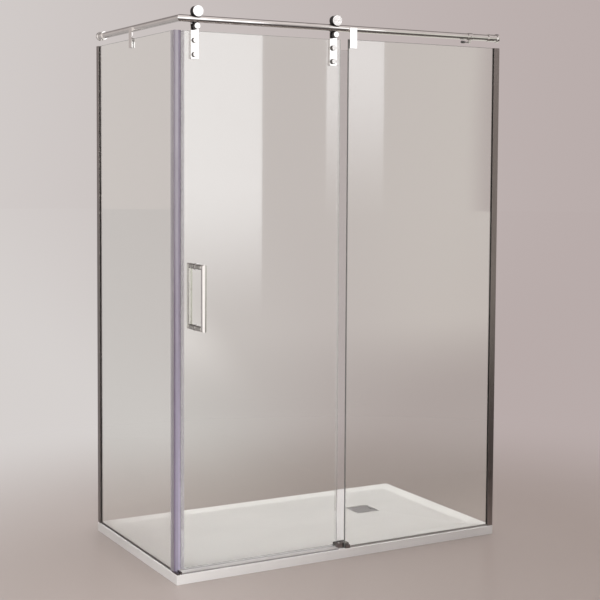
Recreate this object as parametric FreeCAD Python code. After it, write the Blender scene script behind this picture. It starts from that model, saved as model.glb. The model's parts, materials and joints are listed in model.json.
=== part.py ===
import FreeCAD, Part
import math
import os

# Corner shower enclosure: a stone-resin tray, a side panel and a fixed front panel of glass,
# a round rail over both, and a glass door that hangs from the rail on two grooved rollers
# and slides to the right behind the fixed panel.
# Millimetres. Origin: middle of the tray's underside, which stands on the floor.
# +X right along the front, +Y towards the back wall, +Z up. The right-hand wall is at the
# tray's right edge and the back wall at its back edge.

# ---- driving dimensions ----

# tray
tray_length = 1400.0
tray_width = 800.0
tray_height = 35.0
tray_edge_radius = 2.0
tray_rim = 70.0             # level band that carries the glass
tray_fall = 8.0             # how far the floor drops from the rim to the drain
drain_from_right = 322.0
drain_from_front = 490.0
drain_cover_size = 100.0
drain_cover_thickness = 3.0
drain_cover_gap = 2.0       # joint between the cover and its pocket
drain_cover_sink = 0.5      # cover below the tray floor round it
drain_cover_stand = 4.0     # water way under the cover
drain_cover_rest_gap = 0.3  # feet above the pocket's floor
drain_cover_foot_radius = 4.0
drain_cover_radius = 6.0
drain_slot_width = 6.0      # the slot that a finger or hook lifts the cover by
drain_slot_length = 24.0
drain_slot_inset = 12.0     # cover's right edge to the slot's middle
waste_bore_radius = 40.0
waste_wall = 4.0
waste_lip = 6.0             # flange lip beyond the waste's outer wall
waste_lip_thickness = 2.5
waste_hole_gap = 1.0        # tray hole round the waste
waste_gasket_thickness = 1.5
strainer_thickness = 1.2
strainer_ledge = 2.5        # ring of the lip that the strainer lies on
strainer_hole_radius = 2.5
strainer_pitch = 11.0       # between rings of holes, and between holes round a ring

# glass
glass_thickness = 8.0
panel_height = 1930.0       # from the tray's rim to the glass top edge
glass_inset = 10.0          # from the tray's edge to the middle of a fixed panel
glass_arris = 0.8
glass_seat = 2.0            # sealing strip between tray and fixed glass
seat_lip_height = 4.0
seat_lip_thickness = 1.0
fixed_glass_width = 690.0
door_edge_gap = 16.0        # from the door glass to the fixed panel's edge, seen from the front
door_floor_gap = 10.0       # door glass above the tray's rim

# wall profiles
wall_profile_depth = 25.0
wall_profile_web = 2.5
wall_profile_side = 1.8
wall_gasket_thickness = 2.5
wall_gasket_depth = 8.0
wall_end_gap = 7.5          # glass edge to the web
wall_cap_thickness = 1.5
wall_screw_radius = 2.6
wall_screw_first = 60.0     # lowest and highest hole, from the profile's ends
wall_screw_inner = 640.0    # inner pair of holes, from the profile's ends
side_screw_radius = 2.0
side_screw_head_radius = 3.6
side_screw_head = 1.6
side_screw_levels = 3

# rail
rail_radius = 12.5
rail_wall = 1.5
elbow_reach = 40.0
elbow_gap = 0.1
sleeve_gap = 0.15           # sockets, clamps and stop round the rail
socket_wall = 1.6
socket_length = 50.0
socket_ring_length = 6.0
socket_ring_wall = 3.0
socket_flange_radius = 17.5
socket_flange_length = 10.0
socket_base = 4.0
socket_hole_radius = 2.75
socket_screw_lean = 40.0    # set screws above and below the level, degrees
rail_end_gap = 0.2
set_screw_radius = 2.5
set_screw_proud = 0.3

# clamps that hang a fixed panel from the rail
clamp_width = 30.0
clamp_plate = 4.0
clamp_pad = 1.0
clamp_drop = 33.0           # below the glass top
clamp_above_rail = 3.0      # plate above the rail centre
clamp_cheek = 4.0
clamp_bridge = 2.0          # jaw's strip over the glass edge
clamp_bridge_gap = 0.2
clamp_keeper_gap = 1.0      # saddle and bridge to the keeper wheel that passes between them
clamp_cap_gap = 3.0         # jaw to the bolt caps that pass it
clamp_edge_gap = 3.0        # fixed panel's edge to the clamp
clamp_bolt_radius = 2.5
clamp_bolt_head_radius = 5.0
clamp_bolt_drop = 18.0      # below the glass top
clamp_bolt_cover = 0.5      # plate left in front of the bolt's end
clamp_glass_hole = 5.0
saddle_grub_radius = 1.5
saddle_grub_inset = 2.3     # plate's back to the saddle's grub screw
side_clamp_from_front = 436.0

# door hangers
arm_width = 30.0
arm_thickness = 5.0
arm_rail_gap = 1.0
arm_corner_radius = 3.0
hanger_pad = 1.5
hanger_left_inset = 50.0    # door glass edge to the left hanger's middle
hanger_right_inset = 36.0
hanger_bolt_drop = 33.0     # upper bolt below the glass top
hanger_bolt_pitch = 50.0
hanger_arm_tail = 15.0      # arm below the lower bolt
hanger_cap_radius = 9.75
hanger_cap_round = 1.0
hanger_stud_radius = 4.0
hanger_glass_hole = 7.0
hanger_nut_radius = 10.0
hanger_nut_height = 6.0
hanger_washer = 1.5

# rollers on the rail and keepers under it
running_gap = 0.3           # wheel to rail
shaft_gap = 0.05            # wheel on its axle
side_gap = 0.3              # wheel to the shoulders beside it
roller_tread_radius = 14.0  # axle to the rail's surface
roller_groove_depth = 5.0
roller_width = 22.0
roller_cap_lip = 1.5        # cap beyond the wheel
roller_cap_thickness = 5.0
roller_cap_gap = 1.0
roller_axle_radius = 6.0
roller_shoulder_radius = 8.5
roller_nut_radius = 11.0
roller_nut_height = 5.0
bearing_radius = 11.0
bearing_width = 14.0
keeper_tread_radius = 12.0  # axle to the rail's surface
keeper_groove_depth = 0.3
keeper_width = 12.0
keeper_cap_radius = 11.0
keeper_cap_thickness = 3.0
keeper_cap_gap = 0.8
keeper_axle_radius = 4.0
keeper_shoulder_radius = 6.5
keeper_nut_radius = 7.5
keeper_nut_height = 4.0
pin_hole_gap = 0.1          # a fixed pin in its hole

# door stop on the rail
stop_from_wall = 138.0      # right wall to the collar's middle
stop_collar_length = 21.0
stop_collar_wall = 1.85
stop_block_width = 9.0
stop_block_length = 8.0
stop_pin_radius = 3.0
stop_pin_rise = 2.5         # pin above the keeper's axle
stop_reach = 38.5           # collar's middle to the buffer's face
stop_buffer_radius = 5.0
stop_buffer_length = 15.0
stop_rest_gap = 0.5         # buffer to keeper with the door fully open

# door handle, one on each side of the glass
handle_inset = 62.0         # door glass edge to the handle's middle
handle_height = 987.0       # handle's middle above the tray's rim
handle_spread = 220.0       # leg to leg
handle_tube_radius = 10.0
handle_tube_wall = 1.5
handle_stand = 62.0         # bar's axis from the middle of the glass
handle_washer = 2.0
handle_washer_radius = 12.5
handle_plug = 14.0
handle_stud_radius = 4.0
handle_stud_depth = 10.0
handle_stud_gap = 1.0       # stud's end to the bottom of its hole
handle_glass_hole = 6.0

# soft seals and magnets
seal_wall = 2.0
corner_seal_leg = 30.0
corner_pocket = 5.0         # beside the channel, behind the magnet
magnet_thickness = 4.0
magnet_width = 10.0
magnet_gap = 0.3            # closed door
door_seal_leg = 12.5
door_seal_web = 2.2
seal_nose_gap = 0.5         # glass edge to the channel's web
overlap_seal_wall = 1.5
overlap_seal_leg = 10.0
overlap_clamp_gap = 5.0     # overlap seal's top below the clamp
overlap_fin = 1.2
overlap_reach = 22.0        # fin's tip past the door glass
fin_gap = 0.3               # fin to the fixed panel
seal_guide_gap = 3.0        # seals above the guide
drip_seal_height = 7.0
drip_seal_blade = 2.0
drip_seal_body = 4.0

# floor guide at the fixed panel's corner
guide_length = 50.0
guide_lead = 28.0           # guide ahead of the fixed panel's edge
guide_height = 19.0
guide_foot_height = 13.0
guide_wall = 4.5
guide_pad = 1.7
guide_pad_height = 13.0
guide_pad_inset = 4.0
guide_pad_floor_gap = 2.0   # pads above the slot's floor
guide_slide_gap = 0.3       # pad to door glass
guide_front_leg = 3.5
guide_front_pad = 0.5
guide_front_setback = 2.0   # front leg behind the fixed panel's edge
guide_screw_radius = 2.0
guide_screw_head_radius = 3.8
guide_screw_depth = 12.0
guide_screw_inset = 12.0    # from the guide's ends

# threshold strip under the door
threshold_inset = 4.0
threshold_nose = 2.5
threshold_top = 4.5
threshold_lip = 7.5
threshold_lip_width = 4.0
threshold_ramp = 3.0
threshold_door_gap = 1.0
threshold_corner_gap = 1.0

# ---- places worked out from the dimensions ----

left = -tray_length / 2
right = tray_length / 2
front = -tray_width / 2
back = tray_width / 2
rim = tray_height
glass_top = rim + panel_height
glass_bottom = rim + glass_seat
half_glass = glass_thickness / 2

keeper_drop = rail_radius + keeper_tread_radius
keeper_rim_radius = keeper_tread_radius + keeper_groove_depth
rail_rise = keeper_drop + keeper_rim_radius + clamp_keeper_gap + clamp_bridge + clamp_bridge_gap

fixed_y = front + glass_inset
side_x = left + glass_inset
rail_offset = rail_radius - half_glass - clamp_pad      # rail centre behind a panel's middle
rail_y = fixed_y + rail_offset
rail_x = side_x + rail_offset
rail_z = glass_top + rail_rise

arm_front = rail_y + rail_radius + arm_rail_gap
arm_back = arm_front + arm_thickness
door_front = arm_back + hanger_pad
door_back = door_front + glass_thickness
door_y = door_front + half_glass
door_bottom = rim + door_floor_gap

fixed_right = right - wall_profile_web - wall_end_gap
fixed_left = fixed_right - fixed_glass_width
front_clamp_x = fixed_left + clamp_edge_gap + clamp_width / 2
side_clamp_y = front + side_clamp_from_front
clamp_bolt_z = glass_top - clamp_bolt_drop
side_back = back - wall_profile_web - wall_end_gap
side_front = door_front
door_right = fixed_left - door_edge_gap

channel_half = half_glass + seal_wall                   # a seal's channel, about the glass's middle
pocket_right = side_x + channel_half + corner_pocket
corner_magnet_right = pocket_right + magnet_thickness
door_magnet_left = corner_magnet_right + magnet_gap
door_seal_left = door_magnet_left + magnet_thickness
door_left = door_seal_left + door_seal_web + seal_nose_gap

hanger_left_x = door_left + hanger_left_inset
hanger_right_x = door_right - hanger_right_inset
handle_x = door_left + handle_inset
handle_z = rim + handle_height
handle_levels = (handle_z + handle_spread / 2, handle_z - handle_spread / 2)
bolt_levels = (glass_top - hanger_bolt_drop, glass_top - hanger_bolt_drop - hanger_bolt_pitch)
arm_bottom = bolt_levels[1] - hanger_arm_tail
groove_radius = rail_radius + running_gap
roller_rise = rail_radius + roller_tread_radius
roller_z = rail_z + roller_rise
roller_rim_radius = roller_tread_radius + roller_groove_depth
roller_cap_radius = roller_rim_radius + roller_cap_lip
keeper_z = rail_z - keeper_drop
jaw_back = fixed_y + half_glass + clamp_pad + clamp_cheek
cap_front = jaw_back + clamp_cap_gap

guide_left = fixed_left - guide_lead
guide_right = guide_left + guide_length
guide_top = rim + guide_height
slot_front = door_front - guide_slide_gap - guide_pad
slot_back = door_back + guide_slide_gap + guide_pad
guide_screw_y = (fixed_y + half_glass + guide_front_pad + slot_front) / 2
guide_screw_places = (guide_left + guide_screw_inset, guide_right - guide_screw_inset)
overlap_top = glass_top - clamp_drop - overlap_clamp_gap
magnet_front = door_y - magnet_width / 2
magnet_back = door_y + magnet_width / 2

drain_x = right - drain_from_right
drain_y = front + drain_from_front
drain_floor = rim - tray_fall
cover_top = drain_floor - drain_cover_sink
cover_bottom = cover_top - drain_cover_thickness
pocket_floor = cover_bottom - drain_cover_stand
pocket_half = drain_cover_size / 2 + drain_cover_gap
waste_outer = waste_bore_radius + waste_wall
lip_radius = waste_outer + waste_lip
lip_top = pocket_floor
lip_bottom = lip_top - waste_lip_thickness
gasket_bottom = lip_bottom - waste_gasket_thickness

stop_x = right - stop_from_wall
buffer_face = stop_x - stop_reach
door_travel = buffer_face - stop_rest_gap - (hanger_right_x + keeper_rim_radius)

# ---- shape helpers ----


def vec(x, y, z):
    return FreeCAD.Vector(x, y, z)


def block(x0, x1, y0, y1, z0, z1):
    return Part.makeBox(x1 - x0, y1 - y0, z1 - z0, vec(x0, y0, z0))


def rod(radius, start, end):
    along = end.sub(start)
    return Part.makeCylinder(radius, along.Length, start, along)


def tube(outer, inner, start, end):
    return rod(outer, start, end).cut(rod(inner, start, end))


def upright_rod(radius, x, y, z0, z1):
    return rod(radius, vec(x, y, z0), vec(x, y, z1))


def cross_rod(radius, x, z, y0, y1):
    """Round bar along Y, at the given x and z."""
    return rod(radius, vec(x, y0, z), vec(x, y1, z))


def cross_tube(outer, inner, x, z, y0, y1):
    return cross_rod(outer, x, z, y0, y1).cut(cross_rod(inner, x, z, y0, y1))


def prism(points, along):
    outline = Part.makePolygon([vec(*p) for p in points + points[:1]])
    return Part.Face(outline).extrude(along)


def column(points, z0, z1):
    """Upright bar whose plan is the points (x, y)."""
    return prism([(x, y, z0) for x, y in points], vec(0, 0, z1 - z0))


def bar(points, x0, x1):
    """Bar along X whose section is the points (y, z)."""
    return prism([(x0, y, z) for y, z in points], vec(x1 - x0, 0, 0))


def half_space(point, normal, size):
    """A block of the given size that fills the side of the plane that the normal points to."""
    half = Part.makeBox(2 * size, 2 * size, size, vec(-size, -size, 0))
    half.Placement = FreeCAD.Placement(point, FreeCAD.Rotation(vec(0, 0, 1), normal))
    return half


def mitred_rod(points, radius):
    """Round bar through the points, with a mitre at each corner."""
    pieces = []
    directions = [b.sub(a).normalize() for a, b in zip(points, points[1:])]
    for i, along in enumerate(directions):
        start = points[i]
        end = points[i + 1]
        reach = 2 * radius
        if i > 0:
            start = start.sub(vec(*along) * reach)
        if i < len(directions) - 1:
            end = end.add(vec(*along) * reach)
        piece = rod(radius, start, end)
        if i > 0:
            bend = directions[i - 1].add(along)
            piece = piece.cut(half_space(points[i], bend * -1, 4 * radius))
        if i < len(directions) - 1:
            bend = along.add(directions[i + 1])
            piece = piece.cut(half_space(points[i + 1], bend, 4 * radius))
        pieces.append(piece)
    whole = pieces[0]
    for piece in pieces[1:]:
        whole = whole.fuse(piece)
    return whole.removeSplitter()


def arrised(shape, size):
    """The shape with its straight outer edges broken, as a polished glass edge is."""
    straight = [e for e in shape.Edges if isinstance(e.Curve, Part.Line) and e.Length > 10 * size]
    return shape.makeChamfer(size, straight)


def edges_along(shape, axis):
    """The shape's straight edges that run along the axis, a unit vector."""
    straight = [e for e in shape.Edges if isinstance(e.Curve, Part.Line)]
    return [e for e in straight if abs(abs(e.Curve.Direction.dot(axis)) - 1) < 1e-6]


def rounded_tile(x0, x1, y0, y1, z0, z1, radius):
    """Flat plate with round upright corners."""
    tile = block(x0, x1, y0, y1, z0, z1)
    return tile.makeFillet(radius, edges_along(tile, vec(0, 0, 1)))


def rounded_front(shape, radius):
    """The shape with its foremost round edges, the ones with the lowest Y, rounded."""
    rims = [e for e in shape.Edges if isinstance(e.Curve, Part.Circle)]
    foremost = min(e.Curve.Center.y for e in rims)
    return shape.makeFillet(radius, [e for e in rims if e.Curve.Center.y < foremost + 0.01])


def rounded_back(shape, radius):
    """The shape with its rearmost round edges rounded."""
    rims = [e for e in shape.Edges if isinstance(e.Curve, Part.Circle)]
    rearmost = max(e.Curve.Center.y for e in rims)
    return shape.makeFillet(radius, [e for e in rims if e.Curve.Center.y > rearmost - 0.01])


def placed(shape, base, turn):
    """A copy turned about +Z by turn degrees and moved to base."""
    copy = shape.copy()
    copy.Placement = FreeCAD.Placement(base, FreeCAD.Rotation(vec(0, 0, 1), turn))
    return copy


def save(name, *shapes):
    solids = [s for shape in shapes for s in shape.Solids]
    body = solids[0] if len(solids) == 1 else Part.makeCompound(solids)
    body.exportStep(os.path.join("parts", name + ".step"))


# ---- tray and drain ----


def make_tray():
    tray = block(left, right, front, back, 0, rim)
    upper = [e for e in tray.Edges if all(abs(v.Z - rim) < 0.01 for v in e.Vertexes)]
    tray = tray.makeFillet(tray_edge_radius, edges_along(tray, vec(0, 0, 1)) + upper)

    def ring(x0, x1, y0, y1, z):
        return Part.makePolygon([vec(x, y, z) for x, y in ((x0, y0), (x1, y0), (x1, y1), (x0, y1), (x0, y0))])

    pocket_left = drain_x - pocket_half
    pocket_right = drain_x + pocket_half
    pocket_front = drain_y - pocket_half
    pocket_back = drain_y + pocket_half
    basin = Part.makeLoft([
        ring(left + tray_rim, right - tray_rim, front + tray_rim, back - tray_rim, rim),
        ring(pocket_left, pocket_right, pocket_front, pocket_back, drain_floor),
    ], True, True)
    tray = tray.cut(basin)
    tray = tray.cut(block(pocket_left, pocket_right, pocket_front, pocket_back, pocket_floor, rim))
    lip_seat = upright_rod(lip_radius + waste_hole_gap, drain_x, drain_y, gasket_bottom, rim)
    waste_hole = upright_rod(waste_outer + waste_hole_gap, drain_x, drain_y, -1, rim)
    tray = tray.cut(lip_seat).cut(waste_hole)
    for x in guide_screw_places:
        hole = guide_screw_radius + pin_hole_gap
        tray = tray.cut(upright_rod(hole, x, guide_screw_y, rim - guide_screw_depth, rim + 1))
    save("shower_tray", tray)


def make_drain():
    def at(z):
        return vec(drain_x, drain_y, z)

    flange = rod(lip_radius, at(lip_bottom), at(lip_top)).fuse(rod(waste_outer, at(0), at(lip_bottom)))
    flange = flange.cut(rod(waste_bore_radius, at(-1), at(rim)))
    strainer_bottom = lip_top - strainer_thickness
    strainer_radius = waste_bore_radius + strainer_ledge
    flange = flange.cut(rod(strainer_radius + pin_hole_gap, at(strainer_bottom), at(rim)))
    save("drain_flange", flange.removeSplitter())
    save("drain_gasket", tube(lip_radius, waste_outer + waste_hole_gap, at(gasket_bottom), at(lip_bottom)))

    strainer = rod(strainer_radius, at(strainer_bottom), at(lip_top))
    ring_count = 1 + math.floor((waste_bore_radius - 2 * strainer_hole_radius) / strainer_pitch)
    for ring in range(ring_count):
        ring_radius = ring * strainer_pitch
        hole_count = max(1, math.floor(2 * math.pi * ring_radius / strainer_pitch))
        for i in range(hole_count):
            turn = 2 * math.pi * i / hole_count
            spot = vec(ring_radius * math.cos(turn), ring_radius * math.sin(turn), 0)
            strainer = strainer.cut(rod(strainer_hole_radius, at(0).add(spot), at(rim).add(spot)))
    save("drain_strainer", strainer)

    half = drain_cover_size / 2
    cover = rounded_tile(drain_x - half, drain_x + half, drain_y - half, drain_y + half,
                         cover_bottom, cover_top, drain_cover_radius)
    slot_x = drain_x + half - drain_slot_inset
    cover = cover.cut(rounded_tile(slot_x - drain_slot_width / 2, slot_x + drain_slot_width / 2,
                                   drain_y - drain_slot_length / 2, drain_y + drain_slot_length / 2,
                                   cover_bottom - 1, cover_top + 1, drain_slot_width / 2.1))
    foot_place = half - drain_cover_foot_radius - drain_cover_radius / 2
    foot_bottom = pocket_floor + drain_cover_rest_gap
    for sx in (-1, 1):
        for sy in (-1, 1):
            foot_x = drain_x + sx * foot_place
            foot_y = drain_y + sy * foot_place
            foot = upright_rod(drain_cover_foot_radius, foot_x, foot_y, foot_bottom, cover_bottom)
            cover = cover.fuse(foot)
    save("drain_cover", cover.removeSplitter())


# ---- fixed glass, wall profiles and their seals ----


def make_fixed_panels():
    front_face = fixed_y - half_glass
    back_face = fixed_y + half_glass
    fixed = block(fixed_left, fixed_right, front_face, back_face, glass_bottom, glass_top)
    hole = cross_rod(clamp_glass_hole, front_clamp_x, clamp_bolt_z, front_face - 1, back_face + 1)
    save("fixed_glass", arrised(fixed, glass_arris).cut(hole))
    outer_face = side_x - half_glass
    inner_face = side_x + half_glass
    side = block(outer_face, inner_face, side_front, side_back, glass_bottom, glass_top)
    hole = rod(clamp_glass_hole, vec(outer_face - 1, side_clamp_y, clamp_bolt_z),
               vec(inner_face + 1, side_clamp_y, clamp_bolt_z))
    save("side_glass", arrised(side, glass_arris).cut(hole))


def wall_profile_pieces():
    """Profile, gaskets, cap and side screws, about the glass's middle, with the wall at y = 0."""
    half = half_glass + wall_gasket_thickness + wall_profile_side
    inner = half - wall_profile_side
    mouth = -wall_profile_depth
    top = glass_top - wall_cap_thickness
    glass_end = -wall_profile_web - wall_end_gap
    profile = block(-half, half, mouth, 0, rim, top)
    profile = profile.cut(block(-inner, inner, mouth - 1, -wall_profile_web, rim - 1, top + 1))
    for from_end in (wall_screw_first, wall_screw_inner):
        for z in (rim + from_end, top - from_end):
            profile = profile.cut(cross_rod(wall_screw_radius, 0, z, -wall_profile_web - 1, 1))

    gaskets = [block(-inner, -half_glass, mouth, mouth + wall_gasket_depth, rim, top),
               block(half_glass, inner, mouth, mouth + wall_gasket_depth, rim, top)]

    slot_half = half_glass + pin_hole_gap
    cap = block(-half, half, mouth, 0, top, glass_top)
    cap = cap.cut(block(-slot_half, slot_half, mouth - 1, glass_end + pin_hole_gap, top - 1, glass_top + 1))

    screws = []
    screw_y = glass_end - side_screw_head_radius
    screw_hole = side_screw_radius + pin_hole_gap
    for i in range(side_screw_levels):
        z = rim + panel_height * (i + 0.5) / side_screw_levels
        profile = profile.cut(rod(screw_hole, vec(inner - 1, screw_y, z), vec(half + 1, screw_y, z)))
        shank = rod(side_screw_radius, vec(slot_half, screw_y, z), vec(half, screw_y, z))
        head = rod(side_screw_head_radius, vec(half, screw_y, z), vec(half + side_screw_head, screw_y, z))
        screws.append(shank.fuse(head).removeSplitter())
    return profile, gaskets, cap, screws


def make_wall_profiles():
    # The pieces are drawn for the side panel, whose wall is behind it. For the front panel they
    # turn a quarter to the right, and their inner face is mirrored to look into the shower.
    profile, gaskets, cap, screws = wall_profile_pieces()
    side_place = vec(side_x, back, 0)
    front_place = vec(right, fixed_y, 0)

    def at_front(shape):
        return placed(shape.mirror(vec(0, 0, 0), vec(1, 0, 0)), front_place, -90)

    save("side_wall_profile", placed(profile, side_place, 0))
    save("fixed_wall_profile", at_front(profile))
    save("side_glass_gaskets", *[placed(g, side_place, 0) for g in gaskets])
    save("fixed_glass_gaskets", *[at_front(g) for g in gaskets])
    save("profile_end_caps", placed(cap, side_place, 0), at_front(cap))
    save("profile_side_screws", *[placed(s, side_place, 0) for s in screws], *[at_front(s) for s in screws])


def make_seat_strips():
    half = half_glass + seat_lip_thickness

    def section(middle):
        return [(middle - half, rim), (middle + half, rim), (middle + half, glass_bottom + seat_lip_height),
                (middle + half_glass, glass_bottom + seat_lip_height), (middle + half_glass, glass_bottom),
                (middle - half_glass, glass_bottom), (middle - half_glass, glass_bottom + seat_lip_height),
                (middle - half, glass_bottom + seat_lip_height)]

    save("fixed_bottom_strip", bar(section(fixed_y), guide_right, right - wall_profile_depth))
    side_start = side_front - seal_wall + corner_seal_leg
    points = [(x, side_start, z) for x, z in section(side_x)]
    save("side_bottom_strip", prism(points, vec(0, back - wall_profile_depth - side_start, 0)))


# ---- closing corner: the side panel's seal and the magnets ----


def make_corner_seals():
    seal_front = side_front - seal_wall
    seal_back = seal_front + corner_seal_leg
    outer = side_x - channel_half
    inner = side_x + channel_half
    pocket_back = door_y + channel_half
    plan = [(outer, seal_front), (pocket_right, seal_front), (pocket_right, pocket_back),
            (inner, pocket_back), (inner, seal_back), (side_x + half_glass, seal_back),
            (side_x + half_glass, side_front), (side_x - half_glass, side_front),
            (side_x - half_glass, seal_back), (outer, seal_back)]
    profile = column(plan, rim, glass_top)
    hollow = block(inner, pocket_right - seal_wall / 2, door_front, door_back, rim - 1, glass_top + 1)
    save("corner_seal_profile", profile.cut(hollow))
    save("corner_magnet", block(pocket_right, corner_magnet_right, magnet_front, magnet_back, rim, glass_top))


def make_door_seals():
    outer_front = door_y - channel_half
    outer_back = door_y + channel_half
    leg_end = door_left + door_seal_leg
    web = door_left - seal_nose_gap
    plan = [(door_seal_left, outer_front), (leg_end, outer_front), (leg_end, door_front), (web, door_front),
            (web, door_back), (leg_end, door_back), (leg_end, outer_back), (door_seal_left, outer_back)]
    save("door_magnet_profile", column(plan, door_bottom, glass_top))
    magnet = block(door_magnet_left, door_seal_left, magnet_front, magnet_back, door_bottom, glass_top)
    save("door_magnet", magnet)

    # Channel on the door's trailing edge, with a fin that reaches to the back of the fixed panel.
    front_face = door_front - overlap_seal_wall
    back_face = door_back + overlap_seal_wall
    nose = door_right + overlap_seal_wall
    leg = door_right - overlap_seal_leg
    fin_y = fixed_y + half_glass + fin_gap
    tip = door_right + overlap_reach
    plan = [(leg, front_face), (nose - overlap_fin, front_face), (tip - overlap_fin, fin_y), (tip, fin_y),
            (nose, door_front), (nose, back_face), (leg, back_face), (leg, door_back),
            (door_right, door_back), (door_right, door_front), (leg, door_front)]
    save("door_overlap_seal", column(plan, guide_top + seal_guide_gap, overlap_top))

    low = door_bottom - drip_seal_height
    body = door_bottom - drip_seal_body
    half_blade = drip_seal_blade / 2
    section = [(door_front, door_bottom), (door_back, door_bottom), (door_back, body),
               (door_y + half_blade, body), (door_y + half_blade, low), (door_y - half_blade, low),
               (door_y - half_blade, body), (door_front, body)]
    save("door_drip_seal", bar(section, door_left, door_right))


# ---- rail, its elbow and wall sockets ----


def make_rail():
    corner = vec(rail_x, rail_y, rail_z)
    right_end = vec(right - socket_base - rail_end_gap, rail_y, rail_z)
    back_end = vec(rail_x, back - socket_base - rail_end_gap, rail_z)
    to_right = vec(1, 0, 0)
    to_back = vec(0, 1, 0)
    bisector = to_right.sub(to_back)
    over = 2 * rail_radius

    def half_rail(end, along, side):
        start = corner.sub(along * over)
        pipe = tube(rail_radius, rail_radius - rail_wall, start, end)
        return pipe.cut(half_space(corner, bisector * side, 2 * over))

    save("rail_front", half_rail(right_end, to_right, -1))
    save("rail_side", half_rail(back_end, to_back, 1))
    inside = rail_radius - rail_wall - elbow_gap
    elbow_path = [corner.add(to_back * elbow_reach), corner, corner.add(to_right * elbow_reach)]
    save("rail_elbow", mitred_rod(elbow_path, inside))


def socket_pieces(screw_side):
    """Wall socket whose axis is +X and whose wall face is at x = 0, with two set screws.

    screw_side is -1 or 1: the side along Y that the set screws look to."""
    bore = rail_radius + sleeve_gap
    outer = bore + socket_wall
    ring = bore + socket_ring_wall
    mouth = vec(-socket_length, 0, 0)
    wall = vec(0, 0, 0)
    body = rod(outer, mouth, wall).fuse(rod(ring, mouth, mouth.add(vec(socket_ring_length, 0, 0))))
    flange = rod(socket_flange_radius, vec(-socket_flange_length, 0, 0), wall)
    rims = [e for e in flange.Edges if isinstance(e.Curve, Part.Circle) and e.Curve.Center.x < -0.01]
    flange = flange.makeFillet(socket_flange_length / 3, rims)
    body = body.fuse(flange).removeSplitter()
    body = body.cut(rod(bore, mouth.sub(vec(1, 0, 0)), vec(-socket_base, 0, 0)))
    body = body.cut(rod(socket_hole_radius, vec(-socket_base - 1, 0, 0), vec(1, 0, 0)))

    screws = []
    middle = vec(-socket_length / 2, 0, 0)
    for lean in (-socket_screw_lean, socket_screw_lean):
        turn = math.radians(lean)
        out = vec(0, screw_side * math.cos(turn), math.sin(turn))
        body = body.cut(rod(set_screw_radius + pin_hole_gap, middle, middle.add(out * (2 * outer))))
        screw_end = middle.add(out * (outer + set_screw_proud))
        screws.append(rod(set_screw_radius, middle.add(out * bore), screw_end))
    return body, screws


def make_sockets():
    """Saves both sockets and returns their set screws."""
    all_screws = []
    for name, place, turn, screw_side in (("rail_socket_right", vec(right, rail_y, rail_z), 0, -1),
                                          ("rail_socket_back", vec(rail_x, back, rail_z), 90, 1)):
        socket, screws = socket_pieces(screw_side)
        save(name, placed(socket, place, turn))
        all_screws += [placed(s, place, turn) for s in screws]
    return all_screws


# ---- clamps between the rail and the fixed panels ----


def clamp_pieces():
    """Clamp about x = 0, with the glass's middle at y = 0 and the glass top at z = 0."""
    half = clamp_width / 2
    plate_back = -half_glass - clamp_pad
    plate_front = plate_back - clamp_plate
    plate_top = rail_rise + clamp_above_rail
    saddle_bottom = rail_rise - keeper_drop + keeper_cap_radius + clamp_keeper_gap
    saddle_back = rail_offset - keeper_width / 2 - clamp_keeper_gap
    rail_left = vec(-half - 1, rail_offset, rail_rise)
    rail_right = vec(half + 1, rail_offset, rail_rise)
    plate = block(-half, half, plate_front, plate_back, -clamp_drop, plate_top)
    saddle = block(-half, half, plate_back, saddle_back, saddle_bottom, plate_top)
    plate = plate.fuse(saddle).removeSplitter().cut(rod(rail_radius + sleeve_gap, rail_left, rail_right))
    grub_y = plate_back + saddle_grub_inset
    plate = plate.cut(upright_rod(saddle_grub_radius + pin_hole_gap, 0, grub_y, saddle_bottom, rail_rise))
    grub = upright_rod(saddle_grub_radius, 0, grub_y, saddle_bottom, rail_rise)
    grub = grub.cut(rod(rail_radius, rail_left, rail_right))

    cheek_front = half_glass + clamp_pad
    cheek_back = cheek_front + clamp_cheek
    bridge_top = clamp_bridge_gap + clamp_bridge
    jaw = block(-half, half, cheek_front, cheek_back, -clamp_drop, bridge_top)
    jaw = jaw.fuse(block(-half, half, plate_back, cheek_front, clamp_bridge_gap, bridge_top)).removeSplitter()


    sink = clamp_bolt_head_radius - clamp_bolt_radius
    bolt_end = plate_front + clamp_bolt_cover
    neck = cheek_back - sink
    neck_place = vec(0, neck, -clamp_bolt_drop)
    head = Part.makeCone(clamp_bolt_radius, clamp_bolt_head_radius, sink, neck_place, vec(0, 1, 0))
    bolt = cross_rod(clamp_bolt_radius, 0, -clamp_bolt_drop, bolt_end, neck).fuse(head).removeSplitter()
    pad_hole = cross_rod(clamp_bolt_radius + pin_hole_gap, 0, -clamp_bolt_drop, bolt_end, neck)
    pads = [block(-half, half, plate_back, -half_glass, -clamp_drop, 0).cut(pad_hole),
            block(-half, half, half_glass, cheek_front, -clamp_drop, 0).cut(pad_hole)]
    return plate.cut(bolt), jaw.cut(bolt), pads, [bolt, grub]


def make_clamps():
    plate, jaw, pads, screws = clamp_pieces()
    places = {"front_clamp": (vec(front_clamp_x, fixed_y, glass_top), 0),
              "side_clamp": (vec(side_x, side_clamp_y, glass_top), -90)}
    all_screws = []
    for name, (base, turn) in places.items():
        save(name + "_plate", placed(plate, base, turn))
        save(name + "_jaw", placed(jaw, base, turn))
        save(name + "_pads", *[placed(p, base, turn) for p in pads])
        all_screws += [placed(s, base, turn) for s in screws]
    save("clamp_screws", *all_screws)


# ---- door stop ----


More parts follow.
